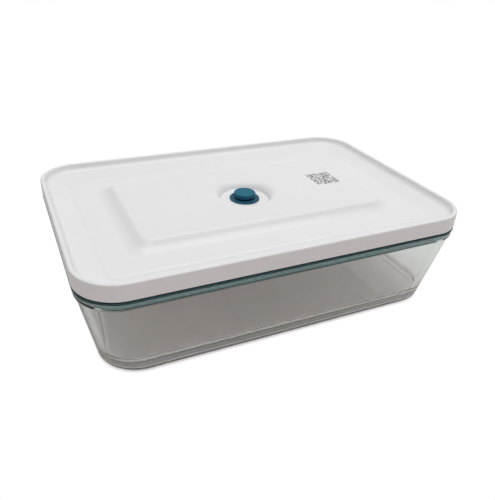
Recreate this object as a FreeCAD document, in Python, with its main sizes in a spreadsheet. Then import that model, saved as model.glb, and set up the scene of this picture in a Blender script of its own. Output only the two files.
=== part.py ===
import FreeCAD, Part
import Sketcher
import math
import os
from FreeCAD import Vector

# A rectangular glass food box that is emptied of air through a valve in its white lid.
# Millimetres, +Z up, origin at the middle of the dish's underside, X along the long side.

doc = FreeCAD.newDocument("vacuum_box")
sheet = doc.addObject("Spreadsheet::Sheet", "sheet")

SIZES = [
    # the lid's outline and the raised edge round its top
    ("lid_length", 266.0),
    ("lid_width", 178.5),
    ("lid_corner", 27.0),
    ("lid_height", 11.0),
    ("lid_edge_round", 0.9),
    ("skirt_wall", 2.6),
    ("crest_width", 2.6),
    ("crest_round", 0.8),
    ("edge_wall_run", 1.6),
    ("moat_depth", 4.2),
    ("moat_fall", 4.1),
    ("moat_round", 1.5),
    # the low step up from the moat, and the panel that it carries
    ("step_inset", 17.3),
    ("step_run", 2.5),
    ("step_rise", 0.9),
    # the plateau in the middle of the panel
    ("plateau_end_inset", 46.2),
    ("plateau_side_inset", 44.65),
    ("plateau_corner", 6.0),
    ("plateau_foot_corner", 8.0),
    ("plateau_drop", 1.8),
    ("plateau_run", 5.0),
    ("plateau_foot_round", 13.5),
    ("plateau_edge_round", 2.0),
    ("cover_wall", 2.4),
    # the pump's round recess, with the valve's seat in its floor
    ("recess_diameter", 34.4),
    ("recess_depth", 5.2),
    ("recess_run", 1.8),
    ("recess_lip_round", 7.2),
    ("vent_diameter", 2.2),
    ("vent_circle", 13.0),
    ("vent_count", 6),
    # the glass dish
    ("dish_height", 58.3),
    ("wall_lean_end", 10.1),
    ("wall_lean_side", 8.35),
    ("base_corner", 26.0),
    ("base_round", 3.0),
    ("glass_wall", 4.4),
    ("glass_floor", 5.6),
    ("floor_round", 6.0),
    ("rim_inset", 0.5),
    ("rim_height", 4.7),
    ("rim_proud", 1.0),
    ("rim_outer_round", 1.4),
    ("rim_inner_round", 1.0),
    ("rim_lower_round", 0.8),
    # the gasket between the lid and the rim of the glass
    ("gasket_flange", 2.2),
    ("gasket_inset", 0.3),
    ("gasket_clearance", 0.3),
    ("lip_thickness", 1.5),
    ("lip_depth", 6.2),
    ("lip_clearance", 0.3),
    ("lip_round", 0.6),
    # the lid's inner plate
    ("plug_depth", 5.6),
    ("plate_thickness", 2.2),
    ("plate_edge_round", 1.0),
    ("plate_wall", 2.0),
    ("rib_thickness", 1.8),
    ("long_ribs", 4),
    ("cross_ribs", 7),
    ("boss_wall", 2.0),
    # the valve
    ("knob_diameter", 15.6),
    ("knob_thickness", 2.9),
    ("knob_round", 0.7),
    ("neck_diameter", 10.6),
    ("neck_height", 1.3),
    ("brim_diameter", 21.6),
    ("brim_thickness", 0.9),
    ("brim_round", 0.35),
    ("stem_diameter", 6.0),
    ("stem_clearance", 0.3),
    ("barb_diameter", 9.0),
    ("barb_length", 4.0),
    ("barb_tip_diameter", 4.0),
    ("valve_travel", 2.5),
    ("barb_clearance", 0.3),
    ("bore_clearance", 2.5),
]
for row, (alias, value) in enumerate(SIZES, start=1):
    sheet.set(f"A{row}", alias)
    sheet.set(f"B{row}", str(value))
    sheet.setAlias(f"B{row}", alias)

# Heights and outlines that follow from the driving sizes.
DERIVED = [
    ("skirt_bottom", "dish_height + gasket_flange"),
    ("lid_top", "skirt_bottom + lid_height"),
    ("moat_top", "lid_top - moat_depth"),
    ("step_top", "moat_top - moat_fall"),
    ("panel_top", "step_top + step_rise"),
    ("plateau_length", "lid_length - 2 * plateau_end_inset"),
    ("plateau_width", "lid_width - 2 * plateau_side_inset"),
    ("plateau_top", "lid_top - plateau_drop"),
    ("recess_floor", "plateau_top - recess_depth"),
    ("cover_under", "min(step_top; recess_floor) - cover_wall"),
    ("hollow_top", "plateau_top - cover_wall"),
    ("channel_roof", "moat_top - moat_fall / 2 - cover_wall"),
    ("recess_mouth", "recess_diameter + 2 * recess_run"),
    ("island_diameter", "recess_mouth + 2 * cover_wall"),
    ("rim_length", "lid_length - 2 * rim_inset"),
    ("rim_width", "lid_width - 2 * rim_inset"),
    ("rim_corner", "lid_corner - rim_inset"),
    ("rim_bottom", "dish_height - rim_height"),
    ("wall_top_length", "rim_length - 2 * rim_proud"),
    ("wall_top_width", "rim_width - 2 * rim_proud"),
    ("wall_top_corner", "rim_corner - rim_proud"),
    ("base_length", "wall_top_length - 2 * wall_lean_end"),
    ("base_width", "wall_top_width - 2 * wall_lean_side"),
    ("draft_length", "2 * wall_lean_end / rim_bottom"),
    ("draft_width", "2 * wall_lean_side / rim_bottom"),
    ("draft_corner", "(wall_top_corner - base_corner) / rim_bottom"),
    ("lip_bottom", "dish_height - lip_depth"),
    ("lip_inset", "glass_wall + lip_clearance"),
    ("lip_length", "base_length + draft_length * lip_bottom - 2 * lip_inset"),
    ("lip_width", "base_width + draft_width * lip_bottom - 2 * lip_inset"),
    ("lip_corner", "base_corner + draft_corner * lip_bottom - lip_inset"),
    ("plug_bottom", "dish_height - plug_depth"),
    ("plug_inset", "lip_thickness + gasket_clearance"),
    ("plug_length", "lip_length - 2 * plug_inset"),
    ("plug_width", "lip_width - 2 * plug_inset"),
    ("plug_corner", "lip_corner - plug_inset"),
    ("plate_top", "plug_bottom + plate_thickness"),
    ("bore_diameter", "barb_diameter + 2 * bore_clearance"),
    ("boss_diameter", "bore_diameter + 2 * boss_wall"),
    ("brim_top", "recess_floor + brim_thickness"),
    ("neck_top", "brim_top + neck_height"),
    ("knob_top", "neck_top + knob_thickness"),
    ("barb_shoulder", "cover_under - valve_travel - barb_clearance"),
    ("barb_tip", "barb_shoulder - barb_length"),
]
for row, (alias, formula) in enumerate(DERIVED, start=len(SIZES) + 1):
    sheet.set(f"A{row}", alias)
    sheet.set(f"B{row}", "=" + formula)
    sheet.setAlias(f"B{row}", alias)
doc.recompute()


def size(alias):
    return float(sheet.get(alias))


def bind(thing, path, formula):
    """Ties one property of a document object to a formula of sheet names."""
    words = formula.replace("(", " ( ").replace(")", " ) ").split()
    known = {alias for alias, _ in SIZES + DERIVED}
    thing.setExpression(path, " ".join("sheet." + word if word in known else word for word in words))


def new_body(label):
    body = doc.addObject("PartDesign::Body", label)
    body.Label = label
    return body


def new_sketch(body, name, plane, height="0"):
    """A sketch on one of the body's own origin planes, raised along the plane's normal."""
    sketch = body.newObject("Sketcher::SketchObject", name)
    support = next(part for part in body.Origin.OriginFeatures if part.Role == plane)
    sketch.AttachmentSupport = [(support, "")]
    sketch.MapMode = "FlatFace"
    bind(sketch, "AttachmentOffset.Base.z", height)
    return sketch


def tie(sketch, constraint, name, formula):
    """Adds a measured constraint whose value follows the sheet."""
    index = sketch.addConstraint(constraint)
    sketch.renameConstraint(index, name)
    bind(sketch, "Constraints." + name, formula)


def add_rectangle(sketch, name, length, width, corner):
    """A rectangle with round corners about the origin, as four lines and four arcs."""
    # drawn at a first guess, which the ties below replace
    half_l, half_w, r = 40.0, 30.0, 5.0
    first = sketch.GeometryCount
    ends = [
        ((-half_l + r, -half_w), (half_l - r, -half_w)),
        ((half_l, -half_w + r), (half_l, half_w - r)),
        ((half_l - r, half_w), (-half_l + r, half_w)),
        ((-half_l, half_w - r), (-half_l, -half_w + r)),
    ]
    for start, end in ends:
        sketch.addGeometry(Part.LineSegment(Vector(*start, 0), Vector(*end, 0)), False)
    quarter = math.pi / 2
    middles = [(1, -1), (1, 1), (-1, 1), (-1, -1)]
    for turn, (sx, sy) in enumerate(middles):
        middle = Vector(sx * (half_l - r), sy * (half_w - r), 0)
        circle = Part.Circle(middle, Vector(0, 0, 1), r)
        start = (turn - 1) * quarter
        sketch.addGeometry(Part.ArcOfCircle(circle, start, start + quarter), False)
    line = [first + n for n in range(4)]
    arc = [first + 4 + n for n in range(4)]
    for n in range(4):
        sketch.addConstraint(Sketcher.Constraint("Tangent", line[n], 2, arc[n], 1))
        sketch.addConstraint(Sketcher.Constraint("Tangent", arc[n], 2, line[(n + 1) % 4], 1))
    for n in range(4):
        sketch.addConstraint(Sketcher.Constraint("Horizontal" if n % 2 == 0 else "Vertical", line[n]))
    for n in range(1, 4):
        sketch.addConstraint(Sketcher.Constraint("Equal", arc[0], arc[n]))
    sketch.addConstraint(Sketcher.Constraint("Symmetric", arc[0], 3, arc[2], 3, -1, 1))
    along = Sketcher.Constraint("DistanceX", line[3], 1, line[1], 1, 2 * half_l)
    tie(sketch, along, name + "_length", length)
    across = Sketcher.Constraint("DistanceY", line[0], 1, line[2], 1, 2 * half_w)
    tie(sketch, across, name + "_width", width)
    tie(sketch, Sketcher.Constraint("Radius", arc[0], r), name + "_corner", corner)


def add_circle(sketch, name, diameter, along_x=None):
    """A circle about the origin, or about a point of the X axis."""
    # drawn at a first guess, which the ties below replace
    place, radius = 5.0, 4.0
    middle = Vector(place if along_x else 0.0, 0, 0)
    index = sketch.addGeometry(Part.Circle(middle, Vector(0, 0, 1), radius), False)
    if along_x:
        sketch.addConstraint(Sketcher.Constraint("PointOnObject", index, 3, -1))
        tie(sketch, Sketcher.Constraint("DistanceX", -1, 1, index, 3, place), name + "_place", along_x)
    else:
        sketch.addConstraint(Sketcher.Constraint("Coincident", index, 3, -1, 1))
    tie(sketch, Sketcher.Constraint("Diameter", index, 2 * radius), name + "_diameter", diameter)


def rectangle_sketch(body, name, height, length, width, corner):
    sketch = new_sketch(body, name, "XY_Plane", height)
    add_rectangle(sketch, "outline", length, width, corner)
    return sketch


def pad(body, sketch, name, length, downward=False):
    feature = body.newObject("PartDesign::Pad", name)
    feature.Profile = sketch
    feature.Reversed = downward
    bind(feature, "Length", length)
    doc.recompute()
    return feature


def pocket(body, sketch, name, depth, upward=False):
    """Cuts a sketch down into the body, or up into it, and makes sure that it did cut."""
    before = body.Shape.Volume
    feature = body.newObject("PartDesign::Pocket", name)
    feature.Profile = sketch
    feature.Reversed = upward
    bind(feature, "Length", depth)
    doc.recompute()
    if not body.Shape.Volume < before:
        raise RuntimeError(name + " cut nothing")
    return feature


def loft(body, kind, name, lower, upper):
    feature = body.newObject("PartDesign::" + kind, name)
    feature.Profile = lower
    feature.Sections = [upper]
    feature.Ruled = True
    doc.recompute()
    return feature


def fillet(body, name, radius, wanted):
    """Rounds the edges of the body's last feature that the test picks out."""
    base = body.Tip
    edges = [f"Edge{n}" for n, edge in enumerate(base.Shape.Edges, start=1) if wanted(edge)]
    if not edges:
        raise RuntimeError(name + " found no edge")
    feature = body.newObject("PartDesign::Fillet", name)
    feature.Base = (base, edges)
    bind(feature, "Radius", radius)
    doc.recompute()
    return feature


# Heights closer than SNAP are one height, and an edge test looks SPARE past or short of its edge.
SNAP = 0.01
SPARE = 0.1


def reach(length, width, more):
    """Half of an outline's two sizes and a little more or less, for the tests of edges."""
    return size(length) / 2 + more, size(width) / 2 + more


def level(height, outside=None, inside=None):
    """A test for edges that lie at one height, beyond or within a reach along X or Y."""
    def test(edge):
        box = edge.BoundBox
        if abs(box.ZMin - height) > SNAP or abs(box.ZMax - height) > SNAP:
            return False
        reach_x = max(abs(box.XMin), abs(box.XMax))
        reach_y = max(abs(box.YMin), abs(box.YMax))
        if outside and not (reach_x > outside[0] or reach_y > outside[1]):
            return False
        return not inside or (reach_x < inside[0] and reach_y < inside[1])
    return test


# The dish is pressed from clear glass: sloping walls, a thick floor with a wide round edge and a
# band round the rim whose flat top carries the gasket.
dish = new_body("glass_dish")


def dish_outline(name, height, inset):
    """The dish's sloping wall at one height, as an outline moved inwards by the inset."""
    return rectangle_sketch(
        dish, name, height,
        f"base_length + draft_length * ( {height} ) - 2 * ( {inset} )",
        f"base_width + draft_width * ( {height} ) - 2 * ( {inset} )",
        f"base_corner + draft_corner * ( {height} ) - ( {inset} )",
    )


ROUNDING_STEPS = 4


def round_floor(kind, name, floor, rounding, wall):
    """The quarter round between a flat floor and the sloping wall, lofted through outlines."""
    sections = []
    for step in range(ROUNDING_STEPS + 1):
        turn = math.pi / 2 * step / ROUNDING_STEPS
        rise = f"{floor} + {rounding} * {1 - math.cos(turn):.6f}"
        inset = f"{wall} + {rounding} * {1 - math.sin(turn):.6f}"
        sections.append(dish_outline(f"{name}_{step}", rise, inset))
    feature = dish.newObject("PartDesign::" + kind, name)
    feature.Profile = sections[0]
    feature.Sections = sections[1:]
    doc.recompute()
    return sections[-1]


edge_top = round_floor("AdditiveLoft", "dish_base_edge", "0", "base_round", "0")
wall_top = dish_outline("dish_wall_top", "rim_bottom", "0")
loft(dish, "AdditiveLoft", "dish_wall", edge_top, wall_top)
rim = rectangle_sketch(dish, "dish_rim", "rim_bottom", "rim_length", "rim_width", "rim_corner")
pad(dish, rim, "dish_rim_band", "rim_height")
fillet(dish, "dish_rim_lower", "rim_lower_round",
       level(size("rim_bottom"), outside=reach("rim_length", "rim_width", -SPARE)))
fillet(dish, "dish_rim_outer", "rim_outer_round", level(size("dish_height")))
inner_edge_top = round_floor(
    "SubtractiveLoft", "dish_floor_edge", "glass_floor", "floor_round", "glass_wall"
)
inner_top = dish_outline("dish_inner_top", "dish_height", "glass_wall")
loft(dish, "SubtractiveLoft", "dish_inside", inner_edge_top, inner_top)
fillet(dish, "dish_rim_inner", "rim_inner_round",
       level(size("dish_height"), inside=reach("wall_top_length", "wall_top_width", 0.0)))

# The lid's cover is moulded in white plastic: a skirt, a raised edge, a moat, a low step up to the
# panel, and a hollow plateau with the pump's recess in its middle.
cover = new_body("lid_cover")
skirt = rectangle_sketch(cover, "cover_skirt", "skirt_bottom", "lid_length", "lid_width", "lid_corner")
pad(cover, skirt, "cover_block", "lid_height")


def cover_outline(name, height, inset):
    return rectangle_sketch(
        cover, name, height,
        f"lid_length - 2 * ( {inset} )", f"lid_width - 2 * ( {inset} )", f"lid_corner - ( {inset} )"
    )


moat_foot = cover_outline("cover_moat_foot", "moat_top", "crest_width + edge_wall_run")
crest_inner = cover_outline("cover_crest_inner", "lid_top", "crest_width")
loft(cover, "SubtractiveLoft", "cover_moat", moat_foot, crest_inner)
step_foot = cover_outline("cover_step_foot", "step_top", "step_inset")
loft(cover, "SubtractiveLoft", "cover_moat_floor", step_foot, moat_foot)
panel_edge = cover_outline("cover_panel_edge", "panel_top", "step_inset + step_run")
loft(cover, "AdditiveLoft", "cover_panel", step_foot, panel_edge)
plateau_foot = rectangle_sketch(
    cover, "cover_plateau_foot", "panel_top", "plateau_length + 2 * plateau_run",
    "plateau_width + 2 * plateau_run", "plateau_foot_corner"
)
plateau_edge = rectangle_sketch(
    cover, "cover_plateau_edge", "plateau_top", "plateau_length", "plateau_width", "plateau_corner"
)
loft(cover, "AdditiveLoft", "cover_plateau", plateau_foot, plateau_edge)
plateau_foot_reach = reach("plateau_length", "plateau_width", size("plateau_run") + SPARE)
fillet(cover, "cover_plateau_slope", "plateau_foot_round",
       level(size("panel_top"), inside=plateau_foot_reach))
fillet(cover, "cover_plateau_rounding", "plateau_edge_round", level(size("plateau_top")))
fillet(cover, "cover_moat_corner", "moat_round", level(size("moat_top")))
crest_reach = reach("lid_length", "lid_width", -SPARE)
fillet(cover, "cover_crest_rounding", "crest_round", level(size("lid_top"), inside=crest_reach))
fillet(cover, "cover_outer_edge", "lid_edge_round", level(size("lid_top"), outside=crest_reach))

recess = new_sketch(cover, "cover_recess_floor", "XY_Plane", "recess_floor")
add_circle(recess, "recess", "recess_diameter")
mouth = new_sketch(cover, "cover_recess_mouth", "XY_Plane", "plateau_top")
add_circle(mouth, "mouth", "recess_mouth")
loft(cover, "SubtractiveLoft", "cover_pump_recess", recess, mouth)
lip_reach = reach("recess_mouth", "recess_mouth", SPARE)
fillet(cover, "cover_recess_lip", "recess_lip_round", level(size("plateau_top"), inside=lip_reach))

underside = cover_outline("cover_underside", "skirt_bottom", "skirt_wall")
pocket(cover, underside, "cover_skirt_inside", "cover_under - skirt_bottom", upward=True)
channel = cover_outline("cover_channel_outline", "cover_under", "skirt_wall")
add_rectangle(channel, "plug", "plug_length", "plug_width", "plug_corner")
pocket(cover, channel, "cover_gasket_channel", "channel_roof - cover_under", upward=True)
hollow = rectangle_sketch(
    cover, "cover_hollow_outline", "cover_under", "plateau_length - cover_wall",
    "plateau_width - cover_wall", "plateau_corner - cover_wall / 2"
)
add_circle(hollow, "island", "island_diameter")
pocket(cover, hollow, "cover_plateau_hollow", "hollow_top - cover_under", upward=True)

stem_hole = new_sketch(cover, "cover_stem_hole", "XY_Plane", "recess_floor")
add_circle(stem_hole, "stem_hole", "stem_diameter + 2 * stem_clearance")
pocket(cover, stem_hole, "cover_stem_bore", "recess_floor - cover_under")
vent = new_sketch(cover, "cover_vent", "XY_Plane", "recess_floor")
add_circle(vent, "vent", "vent_diameter", along_x="vent_circle / 2")
vent_cut = pocket(cover, vent, "cover_vent_bore", "recess_floor - cover_under")
vents = cover.newObject("PartDesign::PolarPattern", "cover_vents")
vents.Originals = [vent_cut]
vents.Axis = (next(part for part in cover.Origin.OriginFeatures if part.Role == "Z_Axis"), [""])
vents.Angle = 360.0
bind(vents, "Occurrences", "vent_count")
cover.Tip = vents
doc.recompute()

# The inner plate is the lid's food side: a flat plate with a wall round it and a rib grid that
# stands against the cover, and a tube under the valve that the air is drawn through.
plate = new_body("lid_inner_plate")
plug = rectangle_sketch(plate, "plate_outline", "plug_bottom", "plug_length", "plug_width", "plug_corner")
pad(plate, plug, "plate_block", "cover_under - plug_bottom")
fillet(plate, "plate_lower_edge", "plate_edge_round", level(size("plug_bottom")))
well = rectangle_sketch(
    plate, "plate_well_outline", "cover_under", "plug_length - 2 * plate_wall",
    "plug_width - 2 * plate_wall", "plug_corner - plate_wall"
)
pocket(plate, well, "plate_well", "cover_under - plate_top")


def add_rib(name, length, width):
    """One straight rib through the plate's middle, from the plate up to the cover."""
    sketch = new_sketch(plate, name + "_outline", "XY_Plane", "plate_top")
    half_l, half_w = 20.0, 2.0
    corners = [(-half_l, -half_w), (half_l, -half_w), (half_l, half_w), (-half_l, half_w)]
    for n in range(4):
        start, end = Vector(*corners[n], 0), Vector(*corners[(n + 1) % 4], 0)
        sketch.addGeometry(Part.LineSegment(start, end), False)
    for n in range(4):
        sketch.addConstraint(Sketcher.Constraint("Coincident", n, 2, (n + 1) % 4, 1))
        sketch.addConstraint(Sketcher.Constraint("Horizontal" if n % 2 == 0 else "Vertical", n))
    sketch.addConstraint(Sketcher.Constraint("Symmetric", 0, 1, 2, 1, -1, 1))
    tie(sketch, Sketcher.Constraint("DistanceX", 0, 1, 0, 2, 2 * half_l), "rib_length", length)
    tie(sketch, Sketcher.Constraint("DistanceY", 1, 1, 1, 2, 2 * half_w), "rib_width", width)
    return sketch


def rib_row(name, sketch, axis, count, pitch):
    """Repeats a rib each way from the middle, so that the row stays centred."""
    direction = next(part for part in plate.Origin.OriginFeatures if part.Role == axis)
    spread = f"{pitch} * ( {count} - 1 )"
    place = "AttachmentOffset.Base.x" if axis == "X_Axis" else "AttachmentOffset.Base.y"
    bind(sketch, place, f"0 - {spread} / 2")
    first = pad(plate, sketch, name, "cover_under - plate_top")
    row = plate.newObject("PartDesign::LinearPattern", name + "_row")
    row.Originals = [first]
    row.Direction = (direction, [""])
    bind(row, "Length", spread)
    bind(row, "Occurrences", count)
    plate.Tip = row
    doc.recompute()


long_rib = add_rib("plate_long_rib", "plug_length - plate_wall", "rib_thickness")
rib_row("plate_long_rib", long_rib, "Y_Axis", "long_ribs", "plug_width / ( long_ribs + 1 )")
cross_rib = add_rib("plate_cross_rib", "rib_thickness", "plug_width - plate_wall")
rib_row("plate_cross_rib", cross_rib, "X_Axis", "cross_ribs", "plug_length / ( cross_ribs + 1 )")
boss = new_sketch(plate, "plate_boss_outline", "XY_Plane", "plate_top")
add_circle(boss, "boss", "boss_diameter")
pad(plate, boss, "plate_boss", "cover_under - plate_top")
bore = new_sketch(plate, "plate_bore_outline", "XY_Plane", "cover_under")
add_circle(bore, "bore", "bore_diameter")
pocket(plate, bore, "plate_bore", "cover_under - plug_bottom")

# The gasket is a silicone ring: a flat flange on the rim of the glass, which shows as a dark line
# under the skirt, a rib in the channel between the skirt and the inner plate, and a lip that hangs
# down round the inner plate and tints the glass of the rim.
gasket = new_body("lid_gasket")


def gasket_ring(name, height, length, width, corner):
    """A ring from an outline inwards to the inner plate, less the gasket's clearance."""
    sketch = rectangle_sketch(gasket, name, height, length, width, corner)
    add_rectangle(
        sketch, "opening", "plug_length + 2 * gasket_clearance",
        "plug_width + 2 * gasket_clearance", "plug_corner + gasket_clearance"
    )
    return sketch


lip = gasket_ring("gasket_lip_outline", "lip_bottom", "lip_length", "lip_width", "lip_corner")
pad(gasket, lip, "gasket_lip", "lip_depth")
fillet(gasket, "gasket_lip_edge", "lip_round",
       level(size("lip_bottom"), outside=reach("lip_length", "lip_width", -SPARE)))
flange = gasket_ring(
    "gasket_flange_outline", "dish_height", "lid_length - 2 * gasket_inset",
    "lid_width - 2 * gasket_inset", "lid_corner - gasket_inset"
)
pad(gasket, flange, "gasket_flange", "gasket_flange")
rib_inset = "( skirt_wall + gasket_clearance )"
rib_sketch = gasket_ring(
    "gasket_rib_outline", "skirt_bottom", f"lid_length - 2 * {rib_inset}",
    f"lid_width - 2 * {rib_inset}", f"lid_corner - {rib_inset}"
)
pad(gasket, rib_sketch, "gasket_rib", "channel_roof - skirt_bottom - gasket_clearance")

# The valve is one silicone moulding, turned about the Z axis: knob, neck, brim, stem and barb.
valve = new_body("vent_valve")
profile = new_sketch(valve, "valve_profile", "XZ_Plane")
AXIS = "axis"
VALVE_OUTLINE = [
    (AXIS, "knob_top"),
    ("knob_diameter", "knob_top"),
    ("knob_diameter", "neck_top"),
    ("neck_diameter", "neck_top"),
    ("neck_diameter", "brim_top"),
    ("brim_diameter", "brim_top"),
    ("brim_diameter", "recess_floor"),
    ("stem_diameter", "recess_floor"),
    ("stem_diameter", "barb_shoulder"),
    ("barb_diameter", "barb_shoulder"),
    ("barb_tip_diameter", "barb_tip"),
    (AXIS, "barb_tip"),
]
corners = []
for diameter, height in VALVE_OUTLINE:
    radius = 0.0 if diameter == AXIS else size(diameter) / 2
    corners.append(Vector(radius, size(height), 0))
count = len(corners)
for n in range(count):
    profile.addGeometry(Part.LineSegment(corners[n], corners[(n + 1) % count]), False)
for n in range(count):
    profile.addConstraint(Sketcher.Constraint("Coincident", n, 2, (n + 1) % count, 1))
for n, (diameter, height) in enumerate(VALVE_OUTLINE):
    if diameter == AXIS:
        profile.addConstraint(Sketcher.Constraint("PointOnObject", n, 1, -2))
    else:
        across = Sketcher.Constraint("DistanceX", -1, 1, n, 1, corners[n].x)
        tie(profile, across, f"radius_{n}", diameter + " / 2")
    tie(profile, Sketcher.Constraint("DistanceY", -1, 1, n, 1, corners[n].y), f"height_{n}", height)
turned = valve.newObject("PartDesign::Revolution", "valve_turned")
turned.Profile = profile
turned.ReferenceAxis = (profile, ["V_Axis"])
turned.Angle = 360.0
doc.recompute()
fillet(valve, "valve_knob_edge", "knob_round", level(size("knob_top")))
neck_reach = reach("neck_diameter", "neck_diameter", SPARE)
fillet(valve, "valve_brim_edge", "brim_round", level(size("brim_top"), outside=neck_reach))

doc.recompute()
for thing in doc.Objects:
    if "Invalid" in thing.State or "Error" in thing.State:
        raise RuntimeError(f"{thing.Name} failed: {thing.State}")

NODES = [dish, cover, plate, gasket, valve]
for node in NODES:
    shape = node.Shape
    if shape.isNull() or not shape.isValid() or len(shape.Solids) != 1:
        raise RuntimeError(f"{node.Label} is not one valid solid")

os.makedirs("parts", exist_ok=True)
for node in NODES:
    node.Shape.exportStep(f"parts/{node.Label}.step")
    box = node.Shape.BoundBox
    print(f"{node.Label}: {box.XLength:.1f} x {box.YLength:.1f} x {box.ZLength:.1f} mm, "
          f"z {box.ZMin:.1f} to {box.ZMax:.1f}, {node.Shape.Volume / 1000:.1f} cm3")
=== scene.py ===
import math

import bmesh
import bpy
from mathutils import Matrix, Vector


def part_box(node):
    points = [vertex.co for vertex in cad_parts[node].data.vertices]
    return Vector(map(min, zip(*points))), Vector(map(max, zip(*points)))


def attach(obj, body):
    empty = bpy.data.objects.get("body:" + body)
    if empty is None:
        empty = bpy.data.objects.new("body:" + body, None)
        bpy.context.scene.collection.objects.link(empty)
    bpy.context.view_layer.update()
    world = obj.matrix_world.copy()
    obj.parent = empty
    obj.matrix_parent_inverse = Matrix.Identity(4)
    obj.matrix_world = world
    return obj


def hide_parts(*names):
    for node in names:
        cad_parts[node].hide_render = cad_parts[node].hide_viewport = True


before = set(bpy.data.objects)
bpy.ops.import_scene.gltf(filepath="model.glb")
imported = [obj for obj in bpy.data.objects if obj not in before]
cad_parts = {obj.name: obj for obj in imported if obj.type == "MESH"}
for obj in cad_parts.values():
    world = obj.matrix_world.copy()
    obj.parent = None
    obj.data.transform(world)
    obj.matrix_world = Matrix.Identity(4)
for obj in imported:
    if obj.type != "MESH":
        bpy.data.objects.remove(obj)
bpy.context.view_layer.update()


# The dish is pressed in one piece from clear soda-lime glass, with sloping walls, a thick floor and a
# heavier band round the rim. The rim's inner face is ground for the seal and the underside stippled
# by the mould. Pale grey at the foot and at the bend above the floor is painted highlights and
# painted light, and a dark tint at the foot's lower edge is painted shade.

rim_half_length, rim_half_width, rim_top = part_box("glass_dish")[1]
rim_height = 0.0047
rim_proud = 0.0010
rim_corner = 0.0265
base_half_length = 0.1214
base_half_width = 0.0794
base_corner = 0.026
glass_wall = 0.0044
glass_floor = 0.0056
base_round = 0.0030
floor_round = 0.0060
rim_outer_round = 0.0014
rim_inner_round = 0.0010
rim_lower_round = 0.0009
rim_bottom = rim_top - rim_height
CORNER_STEPS = 15

cool_glass = (0.985, 0.995, 0.99, 1.0)
plain_glass = (1.0, 1.0, 0.995, 1.0)
rim_tint = (0.82, 0.90, 0.90, 1.0)
foot_shade_tint = (0.30, 0.46, 0.48, 1.0)
depth_tint = (0.60, 0.84, 0.82, 1.0)
lit_tint = (0.99, 0.985, 0.98, 1.0)
highlight_grey = (0.85, 0.87, 0.86, 1.0)
clean_to_marked = (0.45, 0.75)
polish = (0.005, 0.05)
ground_roughness = 0.6
stipple_roughness = 0.5
floor_roughness = 0.08
edge_highlight_amount = 0.4
foot_light_amount = 0.19
bend_highlight_amount = 0.55

# Where these finishes, painted highlights and painted shade begin and end: heights above the ground,
# and depths inside an outline.
rim_fade = 0.0004
rim_face_depth = (-0.0032, -0.0022)
inner_foot_depth = (-0.0012, -0.0004)
outer_foot_depth = (-0.0014, -0.0008)
stipple_height = (0.00003, 0.00010)
foot_shade_height = (0.0030, 0.0036)
worn_floor_height = (0.010, 0.020)
foot_light_heights = (0.0030, 0.0036, 0.0076, 0.0092)
edge_highlight_heights = (0.0034, 0.0040, 0.0046, 0.0052)
bend_highlight_heights = (0.0070, 0.0074, 0.0096, 0.0102)
bend_highlight_front = (-0.070, -0.060)


def outline(bm, half_length, half_width, corner, height):
    """A level loop of edges: a rectangle about the Z axis with its corners rounded off."""
    before = set(bm.edges)
    corners = bmesh.ops.create_grid(bm, x_segments=1, y_segments=1, size=1.0)["verts"]
    bmesh.ops.scale(bm, vec=(half_length, half_width, 1.0), verts=corners)
    bmesh.ops.translate(bm, vec=(0.0, 0.0, height), verts=corners)
    bmesh.ops.bevel(
        bm, geom=corners, offset=corner, offset_type="OFFSET", segments=CORNER_STEPS,
        profile=0.5, affect="VERTICES", material=-1,
    )
    loop = [edge for edge in bm.edges if edge not in before]
    bmesh.ops.delete(bm, geom=loop[0].link_faces[:], context="FACES_ONLY")
    return loop


def skin(bm, loops):
    """Joins each loop to the next with a band of faces. The far loop is held up meanwhile, because
    two loops at one height would be joined with a twist."""
    hold = Vector((0.0, 0.0, 0.1))
    for near, far in zip(loops, loops[1:]):
        verts = list({vert for edge in far for vert in edge.verts})
        bmesh.ops.translate(bm, vec=hold, verts=verts)
        bmesh.ops.bridge_loops(bm, edges=near + far)
        bmesh.ops.translate(bm, vec=-hold, verts=verts)


def round_off(bm, loop, width, steps):
    """Rounds the edge that a loop makes, as far as the width to each side of it."""
    bmesh.ops.bevel(
        bm, geom=loop, offset=width, offset_type="OFFSET", segments=steps, profile=0.5,
        affect="EDGES", loop_slide=True, material=-1,
    )


def finished(bm, name, material):
    """Turns a closed shape into a smooth object whose flat faces stay flat."""
    bmesh.ops.recalc_face_normals(bm, faces=bm.faces)
    mesh = bpy.data.meshes.new(name)
    bm.to_mesh(mesh)
    bm.free()
    mesh.shade_smooth()
    mesh.materials.append(material)
    piece = bpy.data.objects.new(name, mesh)
    bpy.context.scene.collection.objects.link(piece)
    piece.modifiers.new("flat_faces", "WEIGHTED_NORMAL").keep_sharp = True
    return piece


class Wire:
    """One output of a shader node, which sums and products take like a number."""

    def __init__(self, tree, socket=None):
        self.tree = tree
        self.socket = socket

    def node(self, kind, settings, inputs, output=0):
        """Adds a node: first its settings, then the values or wires of its inputs."""
        made = self.tree.nodes.new("ShaderNode" + kind)
        for name, value in settings.items():
            setattr(made, name, value)
        for name, value in inputs.items():
            if isinstance(value, Wire):
                self.tree.links.new(value.socket, made.inputs[name])
            else:
                made.inputs[name].default_value = value
        return Wire(self.tree, made.outputs[output] if made.outputs else None)

    def math(self, operation, first, second=0.0):
        return self.node("Math", {"operation": operation}, {0: first, 1: second})

    def __add__(self, other):
        return self.math("ADD", self, other)

    def __sub__(self, other):
        return self.math("SUBTRACT", self, other)

    def __rsub__(self, other):
        return self.math("SUBTRACT", other, self)

    def __mul__(self, other):
        return self.math("MULTIPLY", self, other)

    def __truediv__(self, other):
        return self.math("DIVIDE", self, other)

    def __rtruediv__(self, other):
        return self.math("DIVIDE", other, self)

    def __gt__(self, other):
        return self.math("GREATER_THAN", self, other)

    def __lt__(self, other):
        return self.math("LESS_THAN", self, other)

    __radd__ = __add__
    __rmul__ = __mul__


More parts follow.
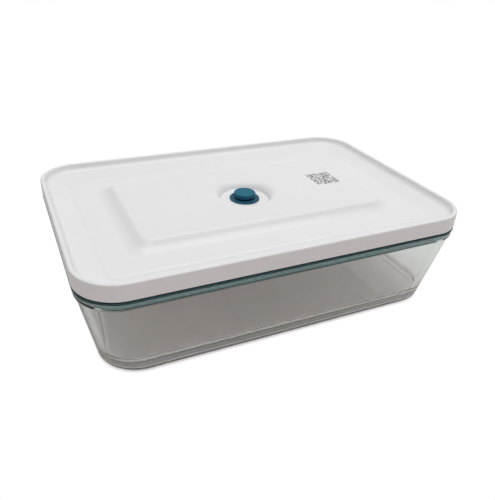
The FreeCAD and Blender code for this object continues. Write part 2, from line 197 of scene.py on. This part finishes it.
def new_material(name):
    """An empty material, with the wire that its nodes start from."""
    material = bpy.data.materials.new(name)
    material.use_nodes = True
    material.node_tree.nodes.clear()
    return material, Wire(material.node_tree)


def noise(wire, place, scale, detail=2.0):
    """Soft random blotches, as many to the metre as the scale says."""
    return wire.node("TexNoise", {}, {"Vector": place, "Scale": scale, "Detail": detail})


def blend(wire, factor, first, second):
    """A colour between two others."""
    return wire.node("Mix", {"data_type": "RGBA"}, {0: factor, 6: first, 7: second}, output=2)


def spread(wire, value, low, high, to_low, to_high):
    """Carries a range of values over to another one, smoothly and no further."""
    ends = {"Value": value, "From Min": low, "From Max": high, "To Min": to_low, "To Max": to_high}
    return wire.node("MapRange", {"interpolation_type": "SMOOTHSTEP"}, ends)


def above(wire, value, low, high):
    """Nothing below the low end of a range, all above its high end."""
    return spread(wire, value, low, high, 0.0, 1.0)


def below(wire, value, low, high):
    """All below the low end of a range, nothing above its high end."""
    return spread(wire, value, low, high, 1.0, 0.0)


def zone(wire, value, start, full, fade, end):
    """All between full and fade, nothing before the start or past the end."""
    return above(wire, value, start, full) * below(wire, value, fade, end)


def axis_wires(wire, place):
    """The three coordinates of a place, each as a wire of its own."""
    outputs = wire.node("SeparateXYZ", {}, {"Vector": place}).socket.node.outputs
    return [Wire(wire.tree, outputs[axis]) for axis in "XYZ"]


def outside_of(wire, x, y, half_length, half_width, corner):
    """How far a place lies outside a rectangle with round corners, less than nothing inside it."""
    beyond_x = wire.math("MAXIMUM", wire.math("ABSOLUTE", x) - (half_length - corner))
    beyond_y = wire.math("MAXIMUM", wire.math("ABSOLUTE", y) - (half_width - corner))
    return wire.math("SQRT", beyond_x * beyond_x + beyond_y * beyond_y) - corner


clear_glass, wire = new_material("pressed_clear_glass")
place = wire.node("TexCoord", {}, {}, "Object")
x, y, z = axis_wires(wire, place)
past_rim = outside_of(wire, x, y, rim_half_length, rim_half_width, rim_corner)
past_base = outside_of(wire, x, y, base_half_length, base_half_width, base_corner)
inner_face = below(wire, past_rim, *rim_face_depth)
rim_band = above(wire, z, rim_bottom - rim_fade, rim_bottom)
ground_rim = inner_face * rim_band
thick_rim = rim_band * (1.0 - inner_face)
stippled_base = below(wire, z, *stipple_height)
inner_foot = below(wire, past_base, *inner_foot_depth) * (z > base_round)
outer_foot = above(wire, past_base, *outer_foot_depth)
worn_floor = inner_foot * below(wire, z, *worn_floor_height)
painted_foot_light = outer_foot * zone(wire, z, *foot_light_heights)
# Painted highlights: pale grey lines at the foot's outer edge and at the front of the bend above the
# floor, and painted light over the outside of the foot.
painted_edge_highlight = outer_foot * zone(wire, z, *edge_highlight_heights)
painted_bend_highlight = inner_foot * zone(wire, z, *bend_highlight_heights)
painted_bend_highlight = painted_bend_highlight * below(wire, y, *bend_highlight_front)
# Painted shade: the outside of the foot's lower edge is tinted dark on faces hit from outside, as the
# dark line where the foot meets the floor.
entering = 1.0 - wire.node("NewGeometry", {}, {}, "Backfacing")
painted_foot_shade = entering * outer_foot * below(wire, z, *foot_shade_height)

mould_waves = noise(wire, place, scale=26.0)
hand_marks = noise(wire, place, scale=60.0, detail=4.0)
glass_bump = wire.node("Bump", {}, {"Strength": 0.02, "Distance": 0.0006, "Height": mould_waves})
glass_colour = blend(wire, mould_waves, cool_glass, plain_glass)
glass_colour = blend(wire, thick_rim, glass_colour, rim_tint)
glass_colour = blend(wire, painted_foot_shade, glass_colour, foot_shade_tint)
glass_roughness = spread(wire, hand_marks, *clean_to_marked, *polish) + ground_rim * ground_roughness
glass_roughness += stippled_base * stipple_roughness + worn_floor * floor_roughness
glass_shader = wire.node("BsdfPrincipled", {}, {
    "Base Color": glass_colour,
    "Roughness": glass_roughness,
    "IOR": 1.5,
    "Transmission Weight": 1.0,
    "Normal": glass_bump,
})
# The pale diffuse grey that the painted highlights and painted light mix into the glass.
painted_highlight_diffuse = wire.node("BsdfDiffuse", {}, {"Color": highlight_grey})
painted_light = painted_edge_highlight * edge_highlight_amount + painted_foot_light * foot_light_amount + painted_bend_highlight * bend_highlight_amount
glass_with_painted_light = wire.node("MixShader", {}, {0: painted_light, 1: glass_shader, 2: painted_highlight_diffuse})

# Light that falls through the glass on other pieces passes straight on.
rays = wire.node("LightPath", {}, {}).socket.node.outputs
shadow_ray = Wire(wire.tree, rays["Is Shadow Ray"])
diffuse_ray = Wire(wire.tree, rays["Is Diffuse Ray"])
lighting = wire.math("MAXIMUM", shadow_ray, diffuse_ray)
clear_path = wire.node("BsdfTransparent", {}, {"Color": lit_tint})
glass = wire.node("MixShader", {}, {0: lighting, 1: glass_with_painted_light, 2: clear_path})
glass_depth = wire.node("VolumeAbsorption", {}, {"Color": depth_tint, "Density": 6.0})
wire.node("OutputMaterial", {}, {"Surface": glass, "Volume": glass_depth})


def wall_at(height, inset):
    """The dish's sloping wall as an outline at one height, moved inwards by the inset."""
    rise = height / rim_bottom
    return (
        base_half_length + (rim_half_length - rim_proud - base_half_length) * rise - inset,
        base_half_width + (rim_half_width - rim_proud - base_half_width) * rise - inset,
        base_corner + (rim_corner - rim_proud - base_corner) * rise - inset,
        height,
    )


bm = bmesh.new()
base_edge = outline(bm, *wall_at(0.0, 0.0))
under_rim = outline(bm, *wall_at(rim_bottom, 0.0))
rim_lower = outline(bm, rim_half_length, rim_half_width, rim_corner, rim_bottom)
rim_outer = outline(bm, rim_half_length, rim_half_width, rim_corner, rim_top)
rim_inner = outline(bm, *wall_at(rim_top, glass_wall))
floor_edge = outline(bm, *wall_at(glass_floor, glass_wall))
skin(bm, [base_edge, under_rim, rim_lower, rim_outer, rim_inner, floor_edge])
bmesh.ops.edgeloop_fill(bm, edges=base_edge)
bmesh.ops.edgeloop_fill(bm, edges=floor_edge)
round_off(bm, rim_outer, rim_outer_round, steps=4)
round_off(bm, rim_inner, rim_inner_round, steps=4)
round_off(bm, rim_lower, rim_lower_round, steps=3)
round_off(bm, base_edge, base_round, steps=8)
round_off(bm, floor_edge, floor_round, steps=8)
dish = finished(bm, "pressed_glass_dish", clear_glass)
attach(dish, "dish")
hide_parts("glass_dish")


# The gasket is moulded in petrol silicone. Its flange lies on the rim of the glass and shows as a
# dark line under the lid, painted dark above the rim as painted shade of the gap there; its rib
# stands in the lid's channel, and its lip hangs down inside the rim and ends in a sealing bead.

gasket_low, gasket_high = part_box("lid_gasket")
cover_low, cover_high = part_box("lid_cover")
plug_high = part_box("lid_inner_plate")[1]
lid_half_length, lid_half_width, lid_top = cover_high
lid_corner = 0.027
skirt_bottom = cover_low.z
plug_corner = 0.01900
gasket_clearance = 0.0003
flange_round = 0.0003
bead_height = 0.0013
groove_inset = 0.0016
rib_inset = 0.0029
lip_clearance = 0.0003
seal_height = 0.0009
seal_clearance = 0.00003
glass_contact = 0.00003
flange_bottom = rim_top - glass_contact
bead_top = flange_bottom + bead_height
lip_bottom = gasket_low.z
seal_foot = lip_bottom + seal_height / 3
seal_top = lip_bottom + seal_height
seal_end = lip_bottom + seal_height * 4 / 3

lip_petrol = (0.130, 0.330, 0.350, 1.0)
pale_lip_petrol = (0.155, 0.370, 0.390, 1.0)
dark_petrol = (0.017, 0.050, 0.062, 1.0)
petrol_dust = (0.10, 0.22, 0.26, 1.0)
clean_to_dusty = (0.55, 0.8)
dust_cover = 0.12
plain_to_cloudy = (0.3, 0.7)
gasket_satin = (0.45, 0.58)
flange_fade = 0.0006

silicone, wire = new_material("petrol_silicone")
place = wire.node("TexCoord", {}, {}, "Object")
z = axis_wires(wire, place)[2]
dust = noise(wire, place, scale=420.0, detail=5.0)
cloud = noise(wire, place, scale=95.0)
petrol = blend(wire, cloud, lip_petrol, pale_lip_petrol)
petrol = blend(wire, below(wire, z, seal_top, seal_end), petrol, dark_petrol)
# Painted shade: above the rim the flange is dark petrol, as the shade in the gap under the skirt.
petrol = blend(wire, above(wire, z, rim_top - flange_fade, rim_top), petrol, dark_petrol)
dusty = spread(wire, dust, *clean_to_dusty, 0.0, dust_cover)
silicone_shader = wire.node("BsdfPrincipled", {}, {
    "Base Color": blend(wire, dusty, petrol, petrol_dust),
    "Roughness": spread(wire, cloud, *plain_to_cloudy, *gasket_satin),
    "Specular IOR Level": 0.3,
    "Normal": wire.node("Bump", {}, {"Strength": 0.15, "Distance": 0.0001, "Height": dust}),
})
wire.node("OutputMaterial", {}, {"Surface": silicone_shader})


def round_plug(bm, margin, height):
    """A loop round the lid's inner plate, a margin away from it."""
    return outline(bm, plug_high.x + margin, plug_high.y + margin, plug_corner + margin, height)


def in_lid(bm, inset, height):
    """A loop inside the lid's outline, an inset away from it."""
    return outline(bm, lid_half_length - inset, lid_half_width - inset, lid_corner - inset, height)


bm = bmesh.new()
lip_inner = round_plug(bm, gasket_clearance, lip_bottom)
lip_outer = outline(bm, *wall_at(lip_bottom, glass_wall + lip_clearance))
seal_lower = outline(bm, *wall_at(seal_foot, glass_wall + seal_clearance))
seal_upper = outline(bm, *wall_at(seal_top, glass_wall + seal_clearance))
seal_root = outline(bm, *wall_at(seal_end, glass_wall + lip_clearance))
lip_root = outline(bm, *wall_at(flange_bottom, glass_wall + lip_clearance))
flange_lower = in_lid(bm, 0.0, flange_bottom)
bead_edge = in_lid(bm, 0.0, bead_top)
groove_foot = in_lid(bm, groove_inset, bead_top)
flange_upper = in_lid(bm, groove_inset, skirt_bottom)
rib_root = in_lid(bm, rib_inset, skirt_bottom)
rib_outer = in_lid(bm, rib_inset, gasket_high.z)
rib_inner = round_plug(bm, gasket_clearance, gasket_high.z)
skin(bm, [
    lip_inner, lip_outer, seal_lower, seal_upper, seal_root, lip_root, flange_lower, bead_edge,
    groove_foot, flange_upper, rib_root, rib_outer, rib_inner, lip_inner,
])
round_off(bm, flange_lower, flange_round, steps=2)
gasket = finished(bm, "silicone_gasket", silicone)
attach(gasket, "lid")
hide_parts("lid_gasket")


# The inner plate is the lid's food side, moulded in the same white plastic as the cover, with a rib
# grid that stands against it. It is welded to the cover round the valve and along its edge.

lid_white = (0.775, 0.775, 0.785, 1.0)
pale_lid_white = (0.805, 0.805, 0.812, 1.0)
print_black = (0.13, 0.13, 0.14, 1.0)
fresh_to_rubbed = (0.35, 0.7)
lid_satin = (0.28, 0.32)


def white_plastic(name, ink=None):
    """The lid's plastic: white with soft flow marks, and printed where the ink's wire says so."""
    material, wire = new_material(name)
    place = wire.node("TexCoord", {}, {}, "Object")
    flow = noise(wire, place, scale=18.0, detail=3.0)
    rub = noise(wire, place, scale=24.0)
    colour = blend(wire, flow, lid_white, pale_lid_white)
    if ink:
        colour = blend(wire, ink(wire, place), colour, print_black)
    shader = wire.node("BsdfPrincipled", {}, {
        "Base Color": colour,
        "Roughness": spread(wire, rub, *fresh_to_rubbed, *lid_satin),
    })
    wire.node("OutputMaterial", {}, {"Surface": shader})
    return material


inner_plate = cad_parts["lid_inner_plate"]
inner_plate.data.materials.clear()
inner_plate.data.materials.append(white_plastic("white_lid_plastic"))


# The cover is injection moulded in white plastic: a deep skirt, a raised edge, a moat, a low step
# up to the panel, and a plateau with the pump's round recess. It is clipped over the gasket.

skirt_wall = 0.0026
skirt_round = 0.0003
edge_round = 0.0009
crest_width = 0.0026
crest_round = 0.0006
edge_wall_run = 0.0016
moat_depth = 0.0042
moat_fall = 0.0041
moat_round = 0.0020
step_inset = 0.0173
step_run = 0.0025
step_rise = 0.0009
step_round = 0.0004
plateau_half_length = 0.0868
plateau_half_width = 0.0446
plateau_corner = 0.0070
plateau_foot_corner = 0.0100
plateau_drop = 0.0018
plateau_side_run = 0.0058
plateau_end_run = 0.0075
plateau_round = 0.0014
plateau_foot_round = 0.0048
cover_wall = 0.0024
recess_radius = 0.0172
recess_run = 0.0018
recess_depth = 0.0052
recess_round = 0.0052
stem_hole_radius = 0.0033
vent_radius = 0.0011
vent_circle_radius = 0.0065
vent_count = 6
print_x = 0.0680
print_y = 0.0034
print_half = 0.0100
print_cell = 0.0010
print_gaps = 0.43
print_cover = 0.95
moat_top = lid_top - moat_depth
step_top = moat_top - moat_fall
panel_top = step_top + step_rise
plateau_top = lid_top - plateau_drop
plateau_margin = 2 * plateau_round
recess_floor = plateau_top - recess_depth
recess_lip_radius = recess_radius + recess_run
recess_margin = 1.2 * recess_round
cover_under = plug_high.z
channel_roof = moat_top - moat_fall / 2 - cover_wall
hollow_top = plateau_top - cover_wall
hollow_inset = cover_wall / 2
ROUND_STEPS = 4 * (CORNER_STEPS + 1)
HOLE_STEPS = 24


def circle(bm, radius, height, along_x=0.0, turn=0.0, segments=ROUND_STEPS):
    """A level round loop about the Z axis, or about a point beside it."""
    spot = Matrix.Rotation(turn, 4, "Z") @ Matrix.Translation((along_x, 0.0, height))
    verts = bmesh.ops.create_circle(bm, radius=radius, segments=segments, matrix=spot)["verts"]
    return list({edge for vert in verts for edge in vert.link_edges})


def in_plateau(bm, inset, height):
    """A loop inside the plateau's edge, an inset away from it."""
    half_length = plateau_half_length - inset
    half_width = plateau_half_width - inset
    return outline(bm, half_length, half_width, plateau_corner - inset, height)


def printed_square(wire, place):
    """A square patch of loose random cells on the plateau, as printers leave on a lid."""
    x, y, z = axis_wires(wire, place)
    across = x - print_x
    along = y - print_y
    near_x = wire.math("ABSOLUTE", across) < print_half
    near_y = wire.math("ABSOLUTE", along) < print_half
    cell = wire.node("CombineXYZ", {}, {
        "X": wire.math("FLOOR", across / print_cell),
        "Y": wire.math("FLOOR", along / print_cell),
    })
    chance = wire.node("TexWhiteNoise", {"noise_dimensions": "2D"}, {"Vector": cell}, "Value")
    on_top = z > plateau_top - plateau_round
    return near_x * near_y * (chance > print_gaps) * on_top * print_cover


bm = bmesh.new()
skirt_inner = in_lid(bm, skirt_wall, skirt_bottom)
skirt_outer = in_lid(bm, 0.0, skirt_bottom)
lid_edge = in_lid(bm, 0.0, lid_top)
crest = in_lid(bm, crest_width, lid_top)
moat_foot = in_lid(bm, crest_width + edge_wall_run, moat_top)
step_foot = in_lid(bm, step_inset, step_top)
panel_edge = in_lid(bm, step_inset + step_run, panel_top)
plateau_foot = outline(
    bm, plateau_half_length + plateau_end_run, plateau_half_width + plateau_side_run,
    plateau_foot_corner, panel_top,
)
plateau_edge = in_plateau(bm, 0.0, plateau_top)
plateau_flat = in_plateau(bm, plateau_margin, plateau_top)
recess_flat = circle(bm, recess_lip_radius + recess_margin, plateau_top)
recess_lip = circle(bm, recess_lip_radius, plateau_top)
recess_edge = circle(bm, recess_radius, recess_floor)
skin(bm, [
    skirt_inner, skirt_outer, lid_edge, crest, moat_foot, step_foot, panel_edge, plateau_foot,
    plateau_edge, plateau_flat, recess_flat, recess_lip, recess_edge,
])
channel_outer = in_lid(bm, skirt_wall, channel_roof)
channel_inner = round_plug(bm, 0.0, channel_roof)
plug_seat = round_plug(bm, 0.0, cover_under)
hollow_lower = in_plateau(bm, hollow_inset, cover_under)
hollow_upper = in_plateau(bm, hollow_inset, hollow_top)
island_upper = circle(bm, recess_lip_radius + cover_wall, hollow_top)
island_lower = circle(bm, recess_lip_radius + cover_wall, cover_under)
skin(bm, [
    skirt_inner, channel_outer, channel_inner, plug_seat, hollow_lower, hollow_upper, island_upper,
    island_lower,
])
vent_turns = [math.tau * n / vent_count for n in range(vent_count)]
holes = [(stem_hole_radius, 0.0, 0.0)]
holes += [(vent_radius, vent_circle_radius, turn) for turn in vent_turns]
upper_holes = []
lower_holes = []
for radius, along_x, turn in holes:
    upper = circle(bm, radius, recess_floor, along_x, turn, HOLE_STEPS)
    lower = circle(bm, radius, cover_under, along_x, turn, HOLE_STEPS)
    skin(bm, [upper, lower])
    upper_holes += upper
    lower_holes += lower
bmesh.ops.triangle_fill(bm, use_beauty=True, edges=recess_edge + upper_holes)
bmesh.ops.triangle_fill(bm, use_beauty=True, edges=island_lower + lower_holes)
round_off(bm, lid_edge, edge_round, steps=5)
round_off(bm, crest, crest_round, steps=4)
round_off(bm, moat_foot, moat_round, steps=4)
round_off(bm, panel_edge, step_round, steps=3)
round_off(bm, plateau_foot, plateau_foot_round, steps=12)
round_off(bm, plateau_edge, plateau_round, steps=4)
round_off(bm, recess_lip, recess_round, steps=8)
round_off(bm, skirt_outer, skirt_round, steps=2)
cover = finished(bm, "white_lid_cover", white_plastic("printed_lid_plastic", printed_square))
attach(cover, "lid")
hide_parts("lid_cover")


# The valve is one round silicone moulding: a knob to lift, a neck, a brim that seals on the recess,
# and a stem with a barb. It is pulled through the hole in the cover, and the barb holds it.

valve_low, valve_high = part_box("vent_valve")
knob_radius = 0.0078
knob_thickness = 0.0029
knob_round = 0.0007
knob_lower_round = 0.0004
neck_radius = 0.0053
neck_round = 0.0004
brim_radius = valve_high.x
brim_thickness = 0.0009
brim_round = 0.00035
stem_radius = 0.0030
barb_radius = 0.0045
barb_tip_radius = 0.0020
barb_length = 0.0040
knob_top = valve_high.z
neck_top = knob_top - knob_thickness
brim_top = recess_floor + brim_thickness
barb_tip = valve_low.z
barb_shoulder = barb_tip + barb_length
weld_gap = 0.00001
TURN_STEPS = 72

lit_top_petrol = (0.004, 0.105, 0.165, 1.0)
pale_lit_top_petrol = (0.007, 0.135, 0.200, 1.0)
shaded_petrol = (0.014, 0.080, 0.138, 1.0)
pale_shaded_petrol = (0.017, 0.094, 0.156, 1.0)
lit_top_fade = 0.0010
plain_to_speckled = (0.35, 0.7)
valve_satin = (0.42, 0.55)

valve_silicone, wire = new_material("valve_silicone")
place = wire.node("TexCoord", {}, {}, "Object")
z = axis_wires(wire, place)[2]
speckle = noise(wire, place, scale=900.0, detail=4.0)
cloud = noise(wire, place, scale=220.0)
# The knob's top is a lighter petrol and everything below it a darker one: painted light on the top,
# and painted shade on the knob's side, the neck and the brim.
lit_top_colour = blend(wire, cloud, lit_top_petrol, pale_lit_top_petrol)
shaded_valve_colour = blend(wire, cloud, shaded_petrol, pale_shaded_petrol)
lit_top = above(wire, z, knob_top - lit_top_fade, knob_top)
valve_shader = wire.node("BsdfPrincipled", {}, {
    "Base Color": blend(wire, lit_top, shaded_valve_colour, lit_top_colour),
    "Roughness": spread(wire, speckle, *plain_to_speckled, *valve_satin),
    "Specular IOR Level": 0.10,
    "Normal": wire.node("Bump", {}, {"Strength": 0.1, "Distance": 0.00005, "Height": speckle}),
})
wire.node("OutputMaterial", {}, {"Surface": valve_shader})

bm = bmesh.new()
profile = [
    (0.0, knob_top), (knob_radius, knob_top), (knob_radius, neck_top), (neck_radius, neck_top),
    (neck_radius, brim_top), (brim_radius, brim_top), (brim_radius, recess_floor),
    (stem_radius, recess_floor), (stem_radius, barb_shoulder), (barb_radius, barb_shoulder),
    (barb_tip_radius, barb_tip), (0.0, barb_tip),
]
corners = [bm.verts.new((radius, 0.0, height)) for radius, height in profile]
sides = [bm.edges.new(pair) for pair in zip(corners, corners[1:])]
bmesh.ops.spin(
    bm, geom=corners + sides, axis=(0.0, 0.0, 1.0), cent=(0.0, 0.0, 0.0), angle=math.tau,
    steps=TURN_STEPS, use_merge=True,
)
bmesh.ops.remove_doubles(bm, verts=bm.verts, dist=weld_gap)


def ring_at(bm, radius, height):
    """The edges of a turned shape that go round at one radius and height."""
    ring = {
        vert for vert in bm.verts
        if abs(vert.co.z - height) < weld_gap and abs(vert.co.xy.length - radius) < weld_gap
    }
    return [edge for edge in bm.edges if ring.issuperset(edge.verts)]


round_off(bm, ring_at(bm, knob_radius, knob_top), knob_round, steps=4)
round_off(bm, ring_at(bm, knob_radius, neck_top), knob_lower_round, steps=3)
round_off(bm, ring_at(bm, neck_radius, brim_top), neck_round, steps=3)
round_off(bm, ring_at(bm, brim_radius, brim_top), brim_round, steps=3)
valve = finished(bm, "silicone_valve", valve_silicone)
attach(valve, "valve")
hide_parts("vent_valve")


# The studio: a pale floor that is white to the camera away from the box and keeps the shade close
# to it, and grey where it is seen through glass, a large soft lamp overhead, and a low even light
# from all sides, warmer near the horizon.

floor_half = 8.0
floor_drop = 0.0002
shade_start = -0.0030
near_shade = 0.0045
far_shade = 0.03
white = (1.0, 1.0, 1.0, 1.0)
floor_colour = (0.81, 0.75, 0.725, 1.0)
pale_floor_colour = (0.99, 0.92, 0.895, 1.0)
plain_to_mottled = (0.3, 0.7)
ground_grey = (0.46, 0.46, 0.45, 1.0)
pale_ground_grey = (0.66, 0.66, 0.645, 1.0)
pale_ground_reach = (0.09, 0.18)
zenith_level = 0.45
horizon_level = 0.16
horizon_reach = 0.5
horizon_tint = (1.0, 0.79, 0.76, 1.0)
lamp_size = 1.2
lamp_energy = 9.9
lamp_place = (0.15, -0.02, 1.25)
lamp_lean = 7.0


def seen_rays(wire):
    """The camera's own rays, and all rays that look for the background, also in a mirror or glass."""
    rays = wire.node("LightPath", {}, {}).socket.node.outputs
    straight = Wire(wire.tree, rays["Is Camera Ray"])
    mirrored = Wire(wire.tree, rays["Is Glossy Ray"])
    through = Wire(wire.tree, rays["Is Transmission Ray"])
    return straight, wire.math("MAXIMUM", straight, wire.math("MAXIMUM", mirrored, through))


floor_finish, wire = new_material("studio_floor")
place = wire.node("TexCoord", {}, {}, "Object")
x, y, z = axis_wires(wire, place)
straight, seen = seen_rays(wire)
away = outside_of(wire, x, y, base_half_length, base_half_width, base_corner)
shade_reach = straight * (near_shade - far_shade) + far_shade
unshaded = above(wire, (away - shade_start) / shade_reach, 0.0, 1.0) * seen
mottling = above(wire, noise(wire, place, scale=150.0, detail=4.0), *plain_to_mottled)
floor_blend = blend(wire, mottling, floor_colour, pale_floor_colour)
shaded = wire.node("BsdfDiffuse", {}, {"Color": floor_blend})
# Painted light: seen through glass, the ground is paler to the right of the box, a painted pool of
# light.
ground_light = blend(wire, above(wire, x, *pale_ground_reach), ground_grey, pale_ground_grey)
ground_light = blend(wire, straight, ground_light, white)
white_ground = wire.node("Emission", {}, {"Color": ground_light, "Strength": 1.0})
ground = wire.node("MixShader", {}, {0: unshaded, 1: shaded, 2: white_ground})
from_below = wire.node("NewGeometry", {}, {}, "Backfacing")
open_below = wire.node("BsdfTransparent", {}, {})
one_sided = wire.node("MixShader", {}, {0: from_below, 1: ground, 2: open_below})
wire.node("OutputMaterial", {}, {"Surface": one_sided})

bm = bmesh.new()
bmesh.ops.create_grid(bm, x_segments=2, y_segments=2, size=floor_half)
bmesh.ops.translate(bm, vec=(0.0, 0.0, -floor_drop), verts=bm.verts)
floor_mesh = bpy.data.meshes.new("studio_floor")
bm.to_mesh(floor_mesh)
bm.free()
floor_mesh.materials.append(floor_finish)
floor = bpy.data.objects.new("studio_floor", floor_mesh)
bpy.context.scene.collection.objects.link(floor)

world = bpy.data.worlds.new("studio_air")
bpy.context.scene.world = world
world.use_nodes = True
world.node_tree.nodes.clear()
wire = Wire(world.node_tree)
straight, seen = seen_rays(wire)
rise = axis_wires(wire, wire.node("TexCoord", {}, {}, "Generated"))[2]
rise = wire.math("ABSOLUTE", rise)
air_level = spread(wire, rise, 0.0, horizon_reach, horizon_level, zenith_level)
untinted = wire.math("MAXIMUM", seen, above(wire, rise, 0.0, horizon_reach))
air = wire.node("Background", {}, {
    "Color": blend(wire, untinted, horizon_tint, white),
    "Strength": seen * (1.0 - air_level) + air_level,
})
wire.node("OutputWorld", {}, {"Surface": air})

lamp_data = bpy.data.lights.new("overhead_lamp", "AREA")
lamp_data.shape = "SQUARE"
lamp_data.size = lamp_size
lamp_data.energy = lamp_energy
lamp = bpy.data.objects.new("overhead_lamp", lamp_data)
lamp_turn = Matrix.Rotation(math.radians(lamp_lean), 4, "Y")
lamp.matrix_world = Matrix.Translation(lamp_place) @ lamp_turn
bpy.context.scene.collection.objects.link(lamp)

# The photograph's camera: where it stands, where it points and how it leans, in a frame 500 px high.
camera_place = (-0.15228, -0.31841, 0.22719)
camera_heading = -26.232
camera_dip = 30.296
camera_lean = 2.937
FRAME_PIXELS = 500
FOCAL_PIXELS = 530.74
camera_data = bpy.data.cameras.new("photo_camera")
camera_data.sensor_width = 36.0
camera_data.lens = FOCAL_PIXELS * camera_data.sensor_width / FRAME_PIXELS
camera = bpy.data.objects.new("photo_camera", camera_data)
camera.matrix_world = (
    Matrix.Translation(camera_place)
    @ Matrix.Rotation(math.radians(camera_heading), 4, "Z")
    @ Matrix.Rotation(math.radians(90.0 - camera_dip), 4, "X")
    @ Matrix.Rotation(math.radians(camera_lean), 4, "Z")
)
bpy.context.scene.collection.objects.link(camera)
bpy.context.scene.camera = camera
bpy.context.scene.view_settings.view_transform = "Standard"
